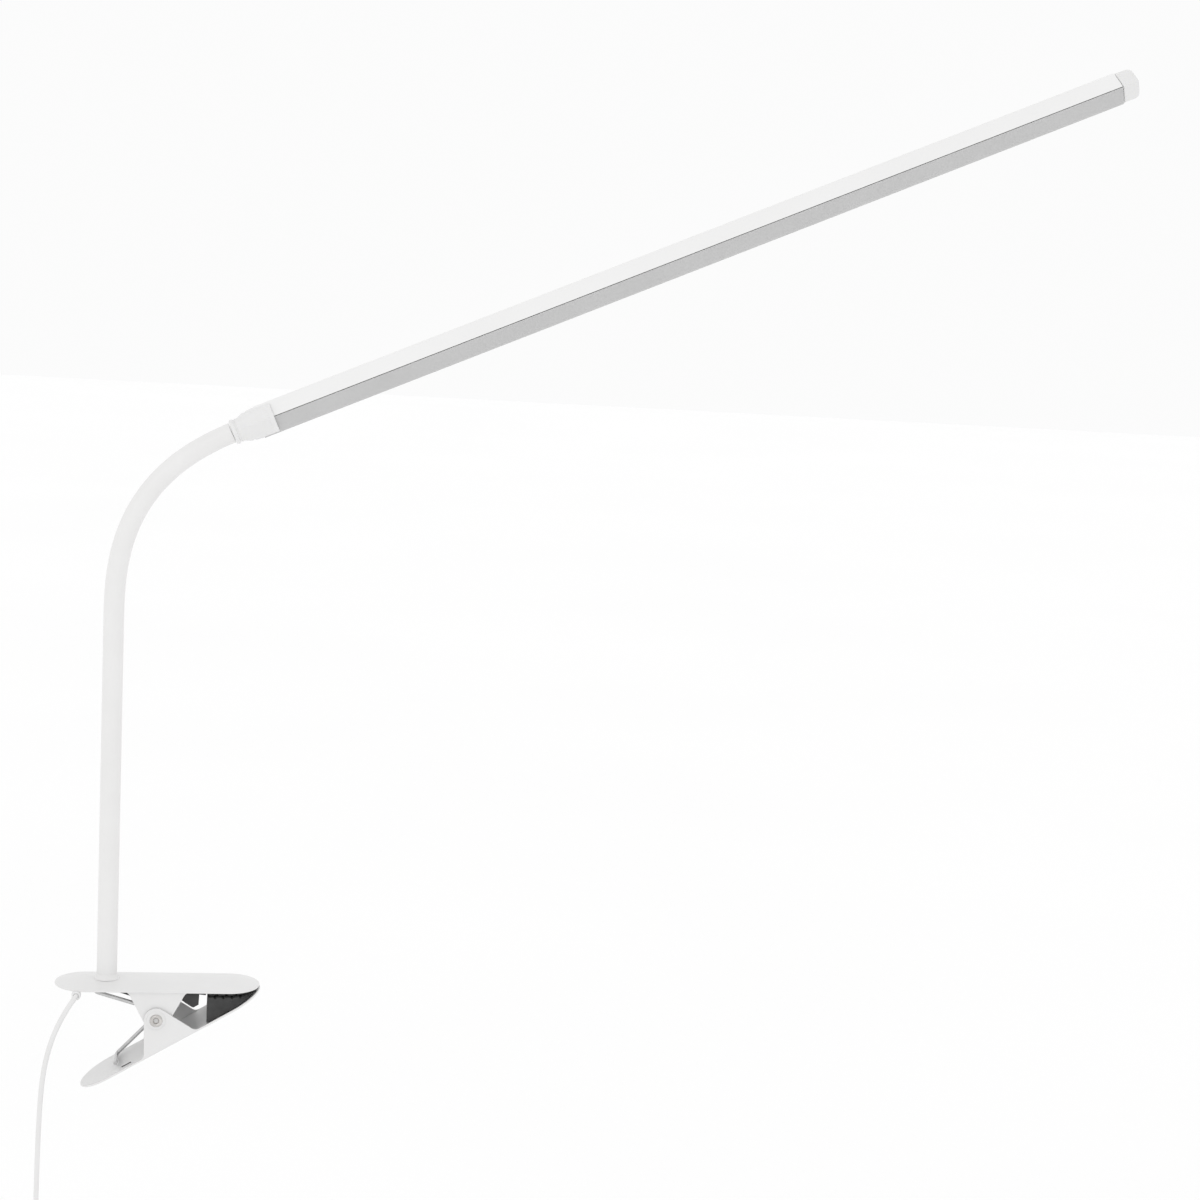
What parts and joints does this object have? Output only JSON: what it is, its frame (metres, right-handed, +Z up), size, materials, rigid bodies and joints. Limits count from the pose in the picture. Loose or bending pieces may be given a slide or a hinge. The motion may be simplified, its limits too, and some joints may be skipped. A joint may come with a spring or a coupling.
{
  "type": "clip-on reading lamp",
  "caption": "Clip-on reading lamp: sprung oval clip with rubber pads, flexible white gooseneck and a long slim light bar, with cord, inline switch and plug.",
  "frame": {"origin": "middle of the upper pad's gripping face, on the table top that the clip grips", "axes": "+Z up, square to the gripping face; +X from the handle towards the clip's tips, the way the light bar points; +Y across the clip, away from the cord"},
  "size_m": [0.5503, 0.0519, 0.7304],
  "materials": {
    "white_paint": "smooth white powder coat on sheet steel",
    "housing_paint": "white paint on an aluminium channel",
    "white_plastic": "white moulded plastic",
    "frosted_diffuser": "frosted translucent plastic",
    "white_sleeve": "satin white flexible sleeve",
    "black_rubber": "matte black rubber",
    "black_plastic": "matte black plastic",
    "spring_steel": "bright drawn wire",
    "plated_steel": "bright zinc or nickel plating",
    "circuit_board": "white solder mask",
    "led_phosphor": "yellow phosphor",
    "white_cord": "satin white cord jacket"
  },
  "bodies": {
    "clip_base": {"upper_jaw": "white_paint", "pivot_rivet": "plated_steel", "torsion_spring": "spring_steel", "upper_pad": "black_rubber", "neck_stud": "plated_steel", "lock_washer": "plated_steel", "neck_nut": "plated_steel", "cable_cover": "black_plastic", "cord_grommet": "white_plastic", "lead_inner": "white_cord", "neck_core_0": "spring_steel", "neck_sleeve_0": "white_sleeve", "cord_run": "white_cord", "switch_front": "white_plastic", "switch_back": "white_plastic", "switch_board": "circuit_board", "cord_lower": "white_cord", "cord_coil": "white_cord", "cord_tie": "black_plastic", "cord_tail": "white_cord", "plug_boot": "white_plastic", "plug_body": "white_plastic", "plug_shell": "plated_steel", "plug_tongue": "black_plastic"},
    "lower_jaw": {"lower_jaw": "white_paint", "lower_pad": "black_rubber", "spring_lower_leg": "spring_steel"},
    "neck_1": {"neck_core_1": "spring_steel", "neck_sleeve_1": "white_sleeve"},
    "neck_2": {"neck_core_2": "spring_steel", "neck_sleeve_2": "white_sleeve"},
    "neck_3": {"neck_core_3": "spring_steel", "neck_sleeve_3": "white_sleeve"},
    "neck_4": {"neck_core_4": "spring_steel", "neck_sleeve_4": "white_sleeve"},
    "neck_5": {"neck_core_5": "spring_steel", "neck_sleeve_5": "white_sleeve"},
    "neck_6": {"neck_core_6": "spring_steel", "neck_sleeve_6": "white_sleeve"},
    "neck_7": {"neck_core_7": "spring_steel", "neck_sleeve_7": "white_sleeve"},
    "neck_8": {"neck_core_8": "spring_steel", "neck_sleeve_8": "white_sleeve"},
    "neck_9": {"neck_core_9": "spring_steel", "neck_sleeve_9": "white_sleeve"},
    "light_head": {"neck_core_10": "spring_steel", "neck_sleeve_10": "white_sleeve", "collar": "white_plastic", "neck_ferrule": "plated_steel", "bar_socket": "black_plastic", "bar_housing": "housing_paint", "diffuser": "frosted_diffuser", "led_board": "circuit_board", "led_strip": "led_phosphor", "end_cap": "white_plastic", "end_cap_spigot": "white_plastic"},
    "switch_button": {"switch_button": "black_plastic"}
  },
  "joints": [
    {"name": "clip_hinge", "type": "hinge", "parent": "clip_base", "child": "lower_jaw", "pos_m": [-0.03175, 0, -0.0121], "axis": [0, 1, 0], "range_deg": [0, 45], "stiffness_Nm_per_rad": 0.6, "springref_deg": -68.75},
    {"name": "neck_bend_1", "type": "hinge", "parent": "clip_base", "child": "neck_1", "pos_m": [-0.05705, 0, 0.02079], "axis": [0, 1, 0], "range_deg": [-15, 15]},
    {"name": "neck_sway_1", "type": "hinge", "parent": "neck_1", "child": "neck_2", "pos_m": [-0.05736, 0, 0.05027], "axis": [-0.9999, 0, -0.0105], "range_deg": [-12, 12]},
    {"name": "neck_bend_2", "type": "hinge", "parent": "neck_2", "child": "neck_3", "pos_m": [-0.05767, 0, 0.07976], "axis": [0, 1, 0], "range_deg": [-15, 15]},
    {"name": "neck_sway_2", "type": "hinge", "parent": "neck_3", "child": "neck_4", "pos_m": [-0.05798, 0, 0.10925], "axis": [-0.9999, 0, -0.0105], "range_deg": [-12, 12]},
    {"name": "neck_bend_3", "type": "hinge", "parent": "neck_4", "child": "neck_5", "pos_m": [-0.05829, 0, 0.13874], "axis": [0, 1, 0], "range_deg": [-15, 15]},
    {"name": "neck_sway_3", "type": "hinge", "parent": "neck_5", "child": "neck_6", "pos_m": [-0.0586, 0, 0.16823], "axis": [-0.9999, 0, -0.0105], "range_deg": [-12, 12]},
    {"name": "neck_bend_4", "type": "hinge", "parent": "neck_6", "child": "neck_7", "pos_m": [-0.05865, 0, 0.19771], "axis": [0, 1, 0], "range_deg": [-15, 15]},
    {"name": "neck_sway_4", "type": "hinge", "parent": "neck_7", "child": "neck_8", "pos_m": [-0.05401, 0, 0.22674], "axis": [-0.9522, 0, 0.3055], "range_deg": [-12, 12]},
    {"name": "neck_bend_5", "type": "hinge", "parent": "neck_8", "child": "neck_9", "pos_m": [-0.03999, 0, 0.25248], "axis": [0, 1, 0], "range_deg": [-15, 15]},
    {"name": "neck_sway_5", "type": "hinge", "parent": "neck_9", "child": "light_head", "pos_m": [-0.01758, 0, 0.27143], "axis": [-0.519, 0, 0.8548], "range_deg": [-12, 12]},
    {"name": "switch_press", "type": "slide", "parent": "clip_base", "child": "switch_button", "axis": [1, 0, 0], "range_m": [0, 0.001], "stiffness_N_per_m": 300, "springref_m": -0.004}
  ]
}
